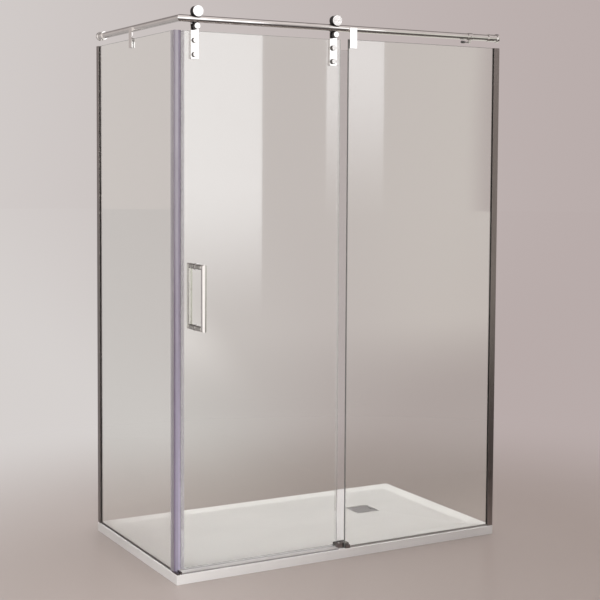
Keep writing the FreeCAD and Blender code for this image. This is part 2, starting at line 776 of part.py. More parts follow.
def make_stop():
    """The stop's pieces. Returns the collar's set screw."""
    half = stop_collar_length / 2
    half_block = stop_block_length / 2
    bore = rail_radius + sleeve_gap
    outer = bore + stop_collar_wall
    pin_z = keeper_z + stop_pin_rise
    collar = rod(outer, vec(stop_x - half, rail_y, rail_z), vec(stop_x + half, rail_y, rail_z))
    collar = collar.fuse(block(stop_x - half_block, stop_x + half_block, rail_y - stop_block_width / 2,
                               rail_y + stop_block_width / 2, pin_z - stop_block_width / 2, rail_z))
    collar = collar.removeSplitter()
    far_left = stop_x - half - 1
    far_right = stop_x + half + 1
    collar = collar.cut(rod(bore, vec(far_left, rail_y, rail_z), vec(far_right, rail_y, rail_z)))
    pin_hole = stop_pin_radius + pin_hole_gap
    collar = collar.cut(rod(pin_hole, vec(far_left, rail_y, pin_z), vec(far_right, rail_y, pin_z)))
    screw_hole = set_screw_radius + pin_hole_gap
    collar = collar.cut(cross_rod(screw_hole, stop_x, rail_z, rail_y - 2 * outer, rail_y))
    save("stop_collar", collar)

    buffer_right = buffer_face + stop_buffer_length
    pin_left = buffer_face + stop_buffer_length / 3
    pin_root = vec(stop_x + half_block, rail_y, pin_z)
    save("stop_pin", rod(stop_pin_radius, vec(pin_left, rail_y, pin_z), pin_root))
    cap = rod(stop_buffer_radius, vec(buffer_face, rail_y, pin_z), vec(buffer_right, rail_y, pin_z))
    rims = [e for e in cap.Edges if isinstance(e.Curve, Part.Circle)]
    cap = cap.makeFillet(stop_buffer_radius / 4, rims)
    save("stop_buffer", cap.cut(rod(stop_pin_radius, vec(pin_left, rail_y, pin_z), pin_root)))
    return cross_rod(set_screw_radius, stop_x, rail_z, rail_y - outer - set_screw_proud, rail_y - bore)


# ---- floor guide and threshold ----


def make_guide():
    glass_front = fixed_y - half_glass - guide_front_pad
    glass_back = fixed_y + half_glass + guide_front_pad
    foot_top = rim + guide_foot_height
    leg_left = fixed_left + guide_front_setback

    guide = block(guide_left, guide_right, glass_back, slot_back + guide_wall, rim, guide_top)
    slot = block(guide_left - 1, guide_right + 1, slot_front, slot_back, glass_bottom, guide_top + 1)
    guide = guide.cut(slot)
    top_edges = [e for e in guide.Edges if all(abs(v.Z - guide_top) < 0.01 for v in e.Vertexes)]
    guide = guide.makeChamfer(guide_wall / 5, top_edges)
    leg = block(leg_left, guide_right, glass_front - guide_front_leg, glass_front, rim, foot_top)
    sole = block(leg_left, guide_right, glass_front - guide_front_leg, glass_back, rim, glass_bottom)
    guide = guide.fuse(leg).fuse(sole).removeSplitter()

    screws = []
    sink = guide_screw_head_radius - guide_screw_radius
    for x in guide_screw_places:
        neck = guide_top - sink
        shank = upright_rod(guide_screw_radius, x, guide_screw_y, rim - guide_screw_depth, neck)
        head = Part.makeCone(guide_screw_radius, guide_screw_head_radius, sink, vec(x, guide_screw_y, neck))
        screw = shank.fuse(head).removeSplitter()
        guide = guide.cut(screw)
        screws.append(screw)
    save("guide_base", guide)
    save("guide_screws", *screws)

    pad_left = guide_left + guide_pad_inset
    pad_right = guide_right - guide_pad_inset
    pad_bottom = glass_bottom + guide_pad_floor_gap
    pad_top = pad_bottom + guide_pad_height
    pads = [block(pad_left, pad_right, slot_front, slot_front + guide_pad, pad_bottom, pad_top),
            block(pad_left, pad_right, slot_back - guide_pad, slot_back, pad_bottom, pad_top),
            block(leg_left, guide_right, glass_front, glass_front + guide_front_pad, glass_bottom, foot_top),
            block(leg_left, guide_right, glass_back - guide_front_pad, glass_back, glass_bottom, foot_top)]
    save("guide_pads", *pads)


def make_threshold():
    nose = front + threshold_inset
    heel = door_y - channel_half - threshold_door_gap
    lip = heel - threshold_lip_width
    top = rim + threshold_top
    lip_top = rim + threshold_lip
    section = [(nose, rim), (nose, rim + threshold_nose), (nose + threshold_ramp / 2, top),
               (lip - threshold_ramp, top), (lip, lip_top), (heel, lip_top), (heel, rim)]
    save("threshold_strip", bar(section, side_x + channel_half + threshold_corner_gap, guide_left))


# ---- door ----


def make_door_glass():
    glass = block(door_left, door_right, door_front, door_back, door_bottom, glass_top)
    glass = arrised(glass, glass_arris)

    holes = [(hanger_glass_hole, x, z) for x in (hanger_left_x, hanger_right_x) for z in bolt_levels]
    holes += [(handle_glass_hole, handle_x, z) for z in handle_levels]
    for radius, x, z in holes:
        glass = glass.cut(cross_rod(radius, x, z, door_front - 1, door_back + 1))
    save("door_glass", glass)


def hanger_arm(x):
    half = arm_width / 2
    arm = block(x - half, x + half, arm_front, arm_back, arm_bottom, roller_z)
    lower = [e for e in edges_along(arm, vec(0, 1, 0)) if e.Vertexes[0].Z < arm_bottom + 0.01]
    arm = arm.makeFillet(arm_corner_radius, lower)
    arm = arm.fuse(cross_rod(half, x, roller_z, arm_front, arm_back)).removeSplitter()
    holes = [(roller_axle_radius, roller_z), (keeper_axle_radius, keeper_z)]
    holes += [(hanger_stud_radius, z) for z in bolt_levels]
    for radius, z in holes:
        arm = arm.cut(cross_rod(radius + pin_hole_gap, x, z, arm_front - 1, arm_back + 1))
    return arm


def hanger_fastenings(x):
    """Cap bolts in front, domed nuts behind, and the pads that keep metal off the glass."""
    bolts = []
    nuts = []
    pads = []
    pad = block(x - arm_width / 2, x + arm_width / 2, arm_back, door_front, arm_bottom, glass_top)
    washer_back = door_back + hanger_washer
    hole = hanger_stud_radius + pin_hole_gap
    stud_end = washer_back + hanger_nut_height / 2
    for z in bolt_levels:
        cap = rounded_front(cross_rod(hanger_cap_radius, x, z, cap_front, arm_front), hanger_cap_round)
        stud = cross_rod(hanger_stud_radius, x, z, arm_front, stud_end)
        bolts.append(cap.fuse(stud).removeSplitter())
        nut = cross_rod(hanger_nut_radius, x, z, washer_back, washer_back + hanger_nut_height)
        nut = rounded_back(nut, hanger_nut_height / 3)
        nuts.append(nut.cut(cross_rod(hole, x, z, washer_back - 1, stud_end)))
        pad = pad.cut(cross_rod(hole, x, z, arm_back - 1, door_front + 1))
        pads.append(cross_tube(hanger_nut_radius, hole, x, z, door_back, washer_back))
        pads.append(cross_tube(hanger_glass_hole - pin_hole_gap, hole, x, z, door_front, door_back))
    pads.append(pad)
    return bolts, nuts, pads


def groove(centre, rail_distance, rim_radius, half_width):
    """Ring to cut from a wheel, so that its rim follows the rail with the running gap.

    rail_distance is from the wheel's axis to the rail's centre line."""
    half = min(math.sqrt(groove_radius ** 2 - (rail_distance - rim_radius) ** 2), half_width)
    deepest = rail_distance - groove_radius
    edge = rail_distance - math.sqrt(groove_radius ** 2 - half ** 2)
    outside = rim_radius + 1

    def at(radius, y):
        return centre.add(vec(radius, y, 0))

    arc = Part.Arc(at(edge, -half), at(deepest, 0), at(edge, half)).toShape()
    rest = Part.makePolygon([at(edge, half), at(outside, half), at(outside, -half), at(edge, -half)])
    outline = Part.Wire(arc.Edges + rest.Edges)
    return Part.Face(outline).revolve(centre, vec(0, 1, 0), 360)


def roller_parts(x):
    """Wheel and bearing that turn, and the axle, cap and nut that hang on the arm."""
    half = roller_width / 2
    wheel = cross_tube(roller_rim_radius, bearing_radius, x, roller_z, rail_y - half, rail_y + half)
    wheel = wheel.cut(groove(vec(x, rail_y, roller_z), roller_rise, roller_rim_radius, half))
    half_bearing = bearing_width / 2
    bearing = cross_tube(bearing_radius, roller_axle_radius + shaft_gap, x, roller_z,
                         rail_y - half_bearing, rail_y + half_bearing)

    cap_back = rail_y - half - roller_cap_gap
    cap = cross_rod(roller_cap_radius, x, roller_z, cap_back - roller_cap_thickness, cap_back)
    cap = rounded_front(cap, roller_cap_thickness / 4)
    front_shoulder = rail_y - half_bearing - side_gap
    back_shoulder = rail_y + half_bearing + side_gap
    nut_back = arm_back + roller_nut_height
    axle = cross_rod(roller_axle_radius, x, roller_z, front_shoulder, arm_back)
    axle = axle.fuse(cross_rod(roller_shoulder_radius, x, roller_z, cap_back, front_shoulder))
    axle = axle.fuse(cross_rod(roller_shoulder_radius, x, roller_z, back_shoulder, arm_front))
    axle = axle.fuse(cross_rod(roller_nut_radius, x, roller_z, arm_back, nut_back))
    return wheel, bearing, cap, axle.removeSplitter()


def keeper_parts(x):
    """Keeper wheel under the rail, and its axle with a round cap in front."""
    half = keeper_width / 2
    bore = keeper_axle_radius + shaft_gap
    wheel = cross_tube(keeper_rim_radius, bore, x, keeper_z, rail_y - half, rail_y + half)
    wheel = wheel.cut(groove(vec(x, rail_y, keeper_z), keeper_drop, keeper_rim_radius, half))

    cap_back = rail_y - half - keeper_cap_gap
    cap = cross_rod(keeper_cap_radius, x, keeper_z, cap_back - keeper_cap_thickness, cap_back)
    axle = rounded_front(cap, keeper_cap_thickness / 4)
    axle = axle.fuse(cross_rod(keeper_axle_radius, x, keeper_z, cap_back, arm_back))
    axle = axle.fuse(cross_rod(keeper_shoulder_radius, x, keeper_z, rail_y + half + side_gap, arm_front))
    axle = axle.fuse(cross_rod(keeper_nut_radius, x, keeper_z, arm_back, arm_back + keeper_nut_height))
    return wheel, axle.removeSplitter()


def make_hangers():
    bolts = []
    nuts = []
    pads = []
    caps = []
    axles = []
    keeper_axles = []
    for side, x in (("left", hanger_left_x), ("right", hanger_right_x)):
        save("hanger_arm_" + side, hanger_arm(x))
        side_bolts, side_nuts, side_pads = hanger_fastenings(x)
        bolts += side_bolts
        nuts += side_nuts
        pads += side_pads
        wheel, bearing, cap, axle = roller_parts(x)
        save("roller_wheel_" + side, wheel)
        save("roller_bearing_" + side, bearing)
        caps.append(cap)
        axles.append(axle)
        keeper, keeper_axle = keeper_parts(x)
        save("keeper_wheel_" + side, keeper)
        keeper_axles.append(keeper_axle)
    save("hanger_cap_bolts", *bolts)
    save("hanger_back_nuts", *nuts)
    save("hanger_pads", *pads)
    save("roller_caps", *caps)
    save("roller_axles", *axles)
    save("keeper_axles", *keeper_axles)


def handle_half(side):
    """Mitred tube handle on one side of the glass: side is -1 outside and 1 inside."""
    top, bottom = handle_levels
    foot = door_y + side * (half_glass + handle_washer)
    bar_y = door_y + side * handle_stand

    def path(start):
        return [vec(handle_x, start, top), vec(handle_x, bar_y, top), vec(handle_x, bar_y, bottom),
                vec(handle_x, start, bottom)]

    outer = mitred_rod(path(foot), handle_tube_radius)
    inner = mitred_rod(path(foot + side * handle_plug), handle_tube_radius - handle_tube_wall)
    handle = outer.cut(inner)
    for z in handle_levels:
        hole_end = foot + side * handle_stud_depth
        handle = handle.cut(cross_rod(handle_stud_radius + pin_hole_gap, handle_x, z, foot - side, hole_end))
    return handle


def make_handle():
    save("handle_outer", handle_half(-1))
    save("handle_inner", handle_half(1))
    washers = []
    studs = []
    reach = half_glass + handle_washer + handle_stud_depth - handle_stud_gap
    for z in handle_levels:
        for side in (-1, 1):
            face = door_y + side * half_glass
            washers.append(cross_tube(handle_washer_radius, handle_stud_radius + pin_hole_gap, handle_x, z,
                                      face, face + side * handle_washer))
        studs.append(cross_rod(handle_stud_radius, handle_x, z, door_y - reach, door_y + reach))
    save("handle_washers", *washers)
    save("handle_studs", *studs)


# ---- build ----

os.makedirs("parts", exist_ok=True)
make_tray()
make_drain()
make_fixed_panels()
make_wall_profiles()
make_seat_strips()
make_corner_seals()
make_door_seals()
make_rail()
save("rail_set_screws", *make_sockets(), make_stop())
make_clamps()
make_guide()
make_threshold()
make_door_glass()
make_hangers()
make_handle()
print("door travel", round(door_travel, 3))
print("roller axes at x", hanger_left_x, hanger_right_x, "y", rail_y, "z", roller_z, "keepers z", keeper_z)
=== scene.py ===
import json
from math import cos, pi, radians, sin

import bmesh
import bpy
from mathutils import Matrix, Vector


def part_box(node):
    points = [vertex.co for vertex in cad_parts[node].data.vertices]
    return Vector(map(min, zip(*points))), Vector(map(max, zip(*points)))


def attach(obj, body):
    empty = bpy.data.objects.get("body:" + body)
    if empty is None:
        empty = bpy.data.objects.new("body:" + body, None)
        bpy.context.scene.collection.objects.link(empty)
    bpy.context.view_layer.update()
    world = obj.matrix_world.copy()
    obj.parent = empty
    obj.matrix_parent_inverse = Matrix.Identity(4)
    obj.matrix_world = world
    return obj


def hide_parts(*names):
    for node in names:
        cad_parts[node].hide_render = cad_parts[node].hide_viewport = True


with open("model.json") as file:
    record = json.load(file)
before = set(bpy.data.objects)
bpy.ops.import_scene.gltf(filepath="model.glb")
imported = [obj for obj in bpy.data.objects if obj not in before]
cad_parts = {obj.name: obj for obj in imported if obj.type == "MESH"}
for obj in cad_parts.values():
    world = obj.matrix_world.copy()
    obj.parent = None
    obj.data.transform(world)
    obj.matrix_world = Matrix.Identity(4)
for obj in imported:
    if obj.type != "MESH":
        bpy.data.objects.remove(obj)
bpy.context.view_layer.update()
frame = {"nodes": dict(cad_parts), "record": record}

slotOf = {part["node"]: part["material_slot"] for part in frame["record"]["subparts"]}
print("frame loaded:", len(frame["nodes"]), "nodes")


class Wire:  # one socket of a node, with plain maths on it
    def __init__(self, graph, socket):
        self.graph, self.socket = graph, socket

    def calc(self, operation, first, second=0.0):
        return self.graph.node("ShaderNodeMath", {"operation": operation}, {0: first, 1: second})

    def __add__(self, other):
        return self.calc("ADD", self, other)

    def __radd__(self, other):
        return self.calc("ADD", other, self)

    def __sub__(self, other):
        return self.calc("SUBTRACT", self, other)

    def __rsub__(self, other):
        return self.calc("SUBTRACT", other, self)

    def __mul__(self, other):
        return self.calc("MULTIPLY", self, other)

    def __rmul__(self, other):
        return self.calc("MULTIPLY", other, self)

    def __truediv__(self, other):
        return self.calc("DIVIDE", self, other)

    def __pow__(self, other):
        return self.calc("POWER", self, other)

    def __abs__(self):
        return self.calc("ABSOLUTE", self)

    def __gt__(self, other):
        return self.calc("GREATER_THAN", self, other)

    def highest(self, other):
        return self.calc("MAXIMUM", self, other)

    def wave(self):
        return self.calc("SINE", self)

    def clipped(self):
        return self.graph.node("ShaderNodeClamp", {}, {0: self})

    def also(self, name):  # another output of the same node
        return Wire(self.graph, self.socket.node.outputs[name])


def opaque(value):  # gives a colour its alpha, and leaves a number or a wire alone
    return (*value, 1.0) if isinstance(value, tuple) else value


class Graph:  # a node tree that is written as Python
    def __init__(self, tree):
        self.tree = tree
        tree.nodes.clear()

    def node(self, kind, settings=None, sockets=None, out=0):
        made = self.tree.nodes.new(kind)
        for key, value in (settings or {}).items():
            if key == "stops":
                self.setStops(made.color_ramp, value)
            else:
                setattr(made, key, value)
        for key, value in (sockets or {}).items():
            for one in value if isinstance(value, list) else [value]:
                if isinstance(one, Wire):
                    self.tree.links.new(one.socket, made.inputs[key])
                else:
                    made.inputs[key].default_value = one
        return Wire(self, made.outputs[out]) if len(made.outputs) else None

    def setStops(self, ramp, stops):
        while len(ramp.elements) < len(stops):
            ramp.elements.new(1.0)
        for element, (place, shade) in zip(ramp.elements, stops):
            element.position, element.color = place, opaque(shade)

    def place(self, stretch=(1.0, 1.0, 1.0), centre=(0.0, 0.0, 0.0)):
        spot = self.node("ShaderNodeTexCoord", out="Object")
        moved = self.node("ShaderNodeVectorMath", {"operation": "SUBTRACT"}, {0: spot, 1: centre})
        return self.node("ShaderNodeMapping", {}, {"Vector": moved, "Scale": stretch})

    def along(self, centre=(0.0, 0.0, 0.0)):  # the three coordinates, measured from centre
        split = self.node("ShaderNodeSeparateXYZ", {}, {0: self.place(centre=centre)})
        return split, split.also("Y"), split.also("Z")

    def noise(self, place, scale, detail=3.0, rough=0.5):
        sockets = {"Vector": place, "Scale": scale, "Detail": detail, "Roughness": rough}
        return self.node("ShaderNodeTexNoise", {}, sockets)

    def ramp(self, value, stops):
        return self.node("ShaderNodeValToRGB", {"stops": stops}, {0: value})

    def range(self, value, low, high, toLow=0.0, toHigh=1.0):  # a soft step from low to high
        sockets = {"Value": value, "From Min": low, "From Max": high, "To Min": toLow, "To Max": toHigh}
        return self.node("ShaderNodeMapRange", {"interpolation_type": "SMOOTHSTEP"}, sockets)

    def blend(self, factor, first, second):  # two colours, which are inputs 6 and 7 of the mix node
        sockets = {0: factor, 6: opaque(first), 7: opaque(second)}
        return self.node("ShaderNodeMix", {"data_type": "RGBA"}, sockets, out=2)

    def bump(self, height, distance, strength, under=None):  # under is a coarser bump below this one
        sockets = {"Height": height, "Distance": distance, "Strength": strength}
        return self.node("ShaderNodeBump", {}, {**sockets, "Normal": under} if under else sockets)

    def shader(self, sockets):
        return self.node("ShaderNodeBsdfPrincipled", {}, {key: opaque(value) for key, value in sockets.items()})

    def glow(self, colour, strength=1.0):
        return self.node("ShaderNodeEmission", {}, {0: opaque(colour), 1: strength})

    def mixed(self, factor, first, second):  # two shaders
        return self.node("ShaderNodeMixShader", {}, {0: factor, 1: first, 2: second})

    def finish(self, surface):
        self.node("ShaderNodeOutputMaterial", {}, {"Surface": surface})


def newFinish(name):
    material = bpy.data.materials.new(name)
    material.use_nodes = True
    return material, Graph(material.node_tree)


# In the values below a noise is its scale, detail and roughness.
# A span is where one tone turns into another.
resin = {
    "colour": (0.80, 0.78, 0.77), "veil": (0.755, 0.735, 0.725), "pit": (0.56, 0.54, 0.52),
    "cloud": (2.2, 4.0), "cloudStretch": (1.0, 2.2, 1.0), "cloudSpan": (0.3, 0.72),
    "pitting": (190.0, 3.0, 0.6), "pitSpan": (0.56, 0.74), "pitShare": 0.25, "pitDepth": 0.00022,
    "grain": (1500.0, 2.0), "grainDepth": 0.00005, "strength": 0.5,
    "rough": 0.36, "roughSpread": 0.14, "shine": 0.3,
}


def makeResin():
    material, g = newFinish("trayResin")
    cloud = g.noise(g.place(resin["cloudStretch"]), *resin["cloud"])
    pitted = g.noise(g.place(), *resin["pitting"])
    grain = g.noise(g.place(), *resin["grain"])
    shade = g.blend(g.range(cloud, *resin["cloudSpan"]), resin["colour"], resin["veil"])
    shade = g.blend(g.range(pitted, *resin["pitSpan"]) * resin["pitShare"], shade, resin["pit"])
    relief = g.bump(pitted, resin["pitDepth"], resin["strength"])
    fine = g.bump(grain, resin["grainDepth"], resin["strength"], relief)
    g.finish(g.shader({
        "Base Color": shade, "Roughness": resin["rough"] + resin["roughSpread"] * pitted,
        "Specular IOR Level": resin["shine"], "Normal": fine,
    }))
    return material


glass = {
    "tint": (0.98, 0.995, 0.968), "index": 1.5, "smear": (3.5, 5.0, 0.6), "smearSpan": (0.55, 0.8),
    "smearRough": 0.004, "edgeWidth": 0.0009, "edgeSpread": 1.4, "edgeRough": 0.16, "edgeRoughSpread": 0.1,
    "edgeCoat": 0.6, "paintedShadeEdge": (0.16, 0.165, 0.16), "paintedLightEdge": (0.50, 0.56, 0.52),
}


def makeGlass(name, node, across, edge, cover):  # clear faces, and edges that are ground and polished, whose tone is painted: dark as painted shade, pale as painted light
    low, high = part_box(node)
    centre, half = (low + high) / 2, (high - low) / 2
    material, g = newFinish(name)
    offsets = g.along(tuple(centre))
    # the edge band, which takes the painted edge tone
    side = abs(offsets[across]) > half[across] - glass["edgeWidth"]
    rim = side.highest(abs(offsets[2]) > half[2] - glass["edgeWidth"])
    smear = g.noise(g.place(), *glass["smear"])
    clear = g.shader({
        "Base Color": glass["tint"], "Roughness": glass["smearRough"] * g.range(smear, *glass["smearSpan"]),
        "IOR": glass["index"], "Transmission Weight": 1.0, "Coat Weight": 1.0,
    })
    light = tuple(part * glass["edgeSpread"] for part in edge)
    ground = g.shader({
        "Base Color": g.blend(smear, edge, light),
        "Roughness": glass["edgeRough"] + glass["edgeRoughSpread"] * smear,
        "IOR": glass["index"], "Coat Weight": glass["edgeCoat"],
    })
    g.finish(g.mixed(rim * cover, clear, ground))
    return material


polish = {
    "colour": (0.74, 0.715, 0.70), "stain": (0.64, 0.61, 0.595), "smudge": (14.0, 5.0, 0.65),
    "smudgeSpan": (0.42, 0.72), "smudgeShare": 0.5, "rough": 0.045, "smudgeRough": 0.07,
    "scratch": (900.0, 2.0), "scratchStretch": (1.0, 1.0, 0.12), "scratchDepth": 0.000001,
    "scratchStrength": 0.25,
}


def makePolished(name, colour, stain, extraRough=0.0):
    material, g = newFinish(name)
    smudge = g.range(g.noise(g.place(), *polish["smudge"]), *polish["smudgeSpan"])
    hair = g.noise(g.place(polish["scratchStretch"]), *polish["scratch"])
    g.finish(g.shader({
        "Base Color": g.blend(smudge * polish["smudgeShare"], colour, stain), "Metallic": 1.0,
        "Roughness": polish["rough"] + extraRough + polish["smudgeRough"] * smudge,
        "Normal": g.bump(hair, polish["scratchDepth"], polish["scratchStrength"]),
    }))
    return material


handle = {
    "middle": (-0.606, -0.3585, 1.022), "legEnd": 0.046, "bar": 0.054, "leg": (0.36, 0.345, 0.34),
    "smudge": (26.0, 5.0, 0.65),
}


def makeHandlePlating():  # the legs are painted darker than the bars, as painted shade
    material, g = newFinish("handlePlating")
    onBar = g.range(abs(g.along(handle["middle"])[1]), handle["legEnd"], handle["bar"])
    smudge = g.range(g.noise(g.place(), *handle["smudge"]), *polish["smudgeSpan"])
    shade = g.blend(smudge * polish["smudgeShare"], polish["colour"], polish["stain"])
    g.finish(g.shader({
        "Base Color": g.blend(onBar, handle["leg"], shade), "Metallic": 1.0,
        "Roughness": polish["rough"] + polish["smudgeRough"] * smudge,
    }))
    return material


turned = {
    "middle": -0.335, "reach": 0.283, "groove": 0.0007, "depth": 0.000007, "strength": 0.8,
    "smudge": (60.0, 4.0, 0.6), "smudgeSpan": (0.45, 0.75), "rough": 0.08, "roughSpread": 0.05,
    "wall": (0.10, 0.095, 0.093), "shadedWallWidth": 0.0007, "shadedWallFade": 0.4,
}


def makeTurned(name, height, spread, radius):  # discs with fine rings about their axis, and a side wall painted dark as painted shade
    material, g = newFinish(name)
    acrossX, _, acrossZ = g.along((turned["middle"], 0.0, height))
    offX = abs(acrossX) - turned["reach"]
    offZ = abs(acrossZ) - spread
    outward = (offX * offX + offZ * offZ) ** 0.5
    rings = (outward * (2 * pi / turned["groove"])).wave()
    # the side wall's dark tone is painted shade
    wall = g.range(outward, radius - turned["shadedWallWidth"], radius - turned["shadedWallWidth"] * turned["shadedWallFade"])
    smudge = g.noise(g.place(), *turned["smudge"])
    stained = g.range(smudge, *turned["smudgeSpan"]) * polish["smudgeShare"]
    shade = g.blend(stained, polish["colour"], polish["stain"])
    g.finish(g.shader({
        "Base Color": g.blend(wall, shade, turned["wall"]), "Metallic": 1.0,
        "Roughness": turned["rough"] + turned["roughSpread"] * smudge,
        "Normal": g.bump(rings, turned["depth"], turned["strength"]),
    }))
    return material


upright, lengthwise = (1.0, 1.0, 0.01), (0.01, 1.0, 1.0)  # stretches for lines that run up or along the x axis
extrusion = {
    "line": (1100.0, 3.0, 0.6), "lineSpan": (0.35, 0.7), "depth": 0.00002, "strength": 0.4,
    "patch": (8.0, 3.0), "rough": 0.2, "lineRough": 0.12, "patchRough": 0.06,
}


def makeExtruded(name, colour, streak):  # drawn metal, with fine lines along its length
    material, g = newFinish(name)
    lines = g.noise(g.place(upright), *extrusion["line"])
    patch = g.noise(g.place(), *extrusion["patch"])
    g.finish(g.shader({
        "Base Color": g.blend(g.range(lines, *extrusion["lineSpan"]), colour, streak), "Metallic": 1.0,
        "Roughness": extrusion["rough"] + extrusion["lineRough"] * lines + extrusion["patchRough"] * patch,
        "Normal": g.bump(lines, extrusion["depth"], extrusion["strength"]),
    }))
    return material


machined = {
    "colour": (0.50, 0.485, 0.475), "dark": (0.33, 0.32, 0.31), "tool": (2400.0, 2.0), "depth": 0.00002,
    "strength": 0.35, "patch": (90.0, 4.0), "patchSpan": (0.4, 0.75), "rough": 0.24, "roughSpread": 0.14,
}


def makeMachined():
    material, g = newFinish("machinedSteel")
    tool = g.noise(g.place(), *machined["tool"])
    patch = g.noise(g.place(), *machined["patch"])
    shade = g.blend(g.range(patch, *machined["patchSpan"]), machined["colour"], machined["dark"])
    g.finish(g.shader({
        "Base Color": shade, "Metallic": 1.0, "Roughness": machined["rough"] + machined["roughSpread"] * patch,
        "Normal": g.bump(tool, machined["depth"], machined["strength"]),
    }))
    return material


brushed = {
    "colour": (0.86, 0.88, 0.91), "dark": (0.69, 0.705, 0.725), "line": (700.0, 3.0, 0.65),
    "stretch": (0.03, 1.0, 1.0), "lineSpan": (0.35, 0.7), "depth": 0.00004, "strength": 0.5,
    "mottle": (60.0, 3.0), "rough": 0.3, "lineRough": 0.16, "mottleRough": 0.05,
    "rim": (0.30, 0.30, 0.30), "rimShadeShare": 0.42, "border": 0.006, "borderFade": 0.7,
}


def makeBrushed():  # the drain cover: lines one way, and a rim painted darker as painted shade
    low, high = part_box("drain_cover")
    centre, half = tuple((low + high) / 2), (high - low)[0] / 2
    material, g = newFinish("brushedCover")
    lines = g.noise(g.place(brushed["stretch"], centre), *brushed["line"])
    mottle = g.noise(g.place(), *brushed["mottle"])
    acrossX, acrossY, _ = g.along(centre)
    outward = abs(acrossX).highest(abs(acrossY))
    # the outer band is painted darker: painted shade round the cover's edge
    rim = g.range(outward, half - brushed["border"], half - brushed["border"] * brushed["borderFade"])
    shade = g.blend(g.range(lines, *brushed["lineSpan"]), brushed["colour"], brushed["dark"])
    g.finish(g.shader({
        "Base Color": g.blend(rim * brushed["rimShadeShare"], shade, brushed["rim"]), "Metallic": 1.0,
        "Roughness": brushed["rough"] + brushed["lineRough"] * lines + brushed["mottleRough"] * mottle,
        "Normal": g.bump(lines, brushed["depth"], brushed["strength"]),
    }))
    return material


vinyl = {
    "line": (600.0, 3.0), "depth": 0.00002, "strength": 0.2, "haze": (6.0, 4.0), "hazeSpan": (0.35, 0.7),
    "rough": 0.2, "roughSpread": 0.1, "coverLow": 0.9, "coverSpread": 0.2, "coat": 0.5,
}


def makeVinyl(name, tone, shade, cover, stretch=upright):  # thin plastic; cover is how much it hides
    material, g = newFinish(name)
    lines = g.noise(g.place(stretch), *vinyl["line"])
    haze = g.noise(g.place(), *vinyl["haze"])
    g.finish(g.shader({
        "Base Color": g.blend(g.range(haze, *vinyl["hazeSpan"]), tone, shade),
        "Roughness": vinyl["rough"] + vinyl["roughSpread"] * lines, "Coat Weight": vinyl["coat"],
        "Alpha": cover * (vinyl["coverLow"] + vinyl["coverSpread"] * haze),
        "Normal": g.bump(lines, vinyl["depth"], vinyl["strength"]),
    }))
    return material


overlap = {
    "fin": -0.016, "seam": 0.001, "finCover": 0.14, "clipCover": 0.03,
    "tone": (0.42, 0.41, 0.405), "shade": (0.36, 0.35, 0.345),
}


def makeOverlapVinyl():  # the fin shades the gap beside the door, and the clip on the glass hardly shows
    material, g = newFinish("overlapVinyl")
    fromFin = g.along((overlap["fin"], 0.0, 0.0))[0]
    haze = g.noise(g.place(upright), *vinyl["haze"])
    cover = g.range(fromFin, -overlap["seam"], overlap["seam"], overlap["clipCover"], overlap["finCover"])
    g.finish(g.shader({
        "Base Color": g.blend(g.range(haze, *vinyl["hazeSpan"]), overlap["tone"], overlap["shade"]),
        "Roughness": vinyl["rough"] + vinyl["roughSpread"] * haze, "Alpha": cover,
    }))
    return material


corner = {
    "left": -0.696, "front": -0.3645, "width": 0.0254, "skin": 0.0003,
    "side": (0.86, 0.83, 0.90), "sideCover": 0.55, "frontCover": 0.88,
    "stretch": (1.0, 1.0, 0.3), "shade": (0.40, 0.36, 0.47), "shadeSpan": (0.4, 0.8), "shadeShare": 0.3,
    # low is painted shade towards the foot, high is painted light towards the top
    "low": (0.17, 0.135, 0.20), "paintedShadeTop": 1.3, "paintedShadeShare": 0.55,
    "high": (0.92, 0.90, 1.0), "paintedLightSpan": (0.85, 1.4), "paintedLightShare": 0.78, "paintedLightClear": 0.06,
    "wallSpan": (0.14, 0.26), "paintedLightOnWall": 0.4,
    "stops": [(0.0, (0.23, 0.175, 0.27)), (0.19, (0.29, 0.225, 0.34)), (0.26, (0.60, 0.545, 0.73)),
              (0.42, (0.69, 0.64, 0.83)), (0.60, (0.77, 0.73, 0.90)), (0.72, (0.62, 0.57, 0.75))],
}


def makeCornerVinyl():  # from the left: a dark wall, a milky hollow and the magnet's pocket; painted paler higher up as painted light, and darker at the foot as painted shade
    material, g = newFinish("cornerVinyl")
    acrossX, acrossY, height = g.along((corner["left"], corner["front"], 0.0))
    front = 1.0 - (abs(acrossY) > corner["skin"])
    haze = g.noise(g.place(corner["stretch"]), *vinyl["haze"])
    across = acrossX * (1 / corner["width"])
    tone = g.blend(front, corner["side"], g.ramp(across, corner["stops"]))
    # painted light: paler towards the top, less of it over the wall
    high = g.range(height, *corner["paintedLightSpan"]) * g.range(across, *corner["wallSpan"], corner["paintedLightOnWall"])
    # painted shade: darker towards the foot
    low = 1.0 - g.range(height, 0.0, corner["paintedShadeTop"])
    tone = g.blend(high * corner["paintedLightShare"], tone, corner["high"])
    tone = g.blend(low * corner["paintedShadeShare"], tone, corner["low"])
    hazed = g.range(haze, *corner["shadeSpan"]) * corner["shadeShare"]
    cover = corner["sideCover"] + (corner["frontCover"] - corner["sideCover"]) * front
    g.finish(g.shader({
        "Base Color": g.blend(hazed, tone, corner["shade"]), "Coat Weight": vinyl["coat"],
        "Roughness": vinyl["rough"] + vinyl["roughSpread"] * haze, "Alpha": cover - corner["paintedLightClear"] * high,
    }))
    return material


threshold = {
    "top": (0.74, 0.72, 0.71), "streak": (0.55, 0.53, 0.52), "streakShare": 0.3, "metal": 0.35, "rough": 0.26,
    "line": (0.14, 0.125, 0.12), "edgeShadeShare": 0.85,
    "back": -0.3705, "backFade": 0.001, "front": -0.3925, "frontFade": 0.0012,
}


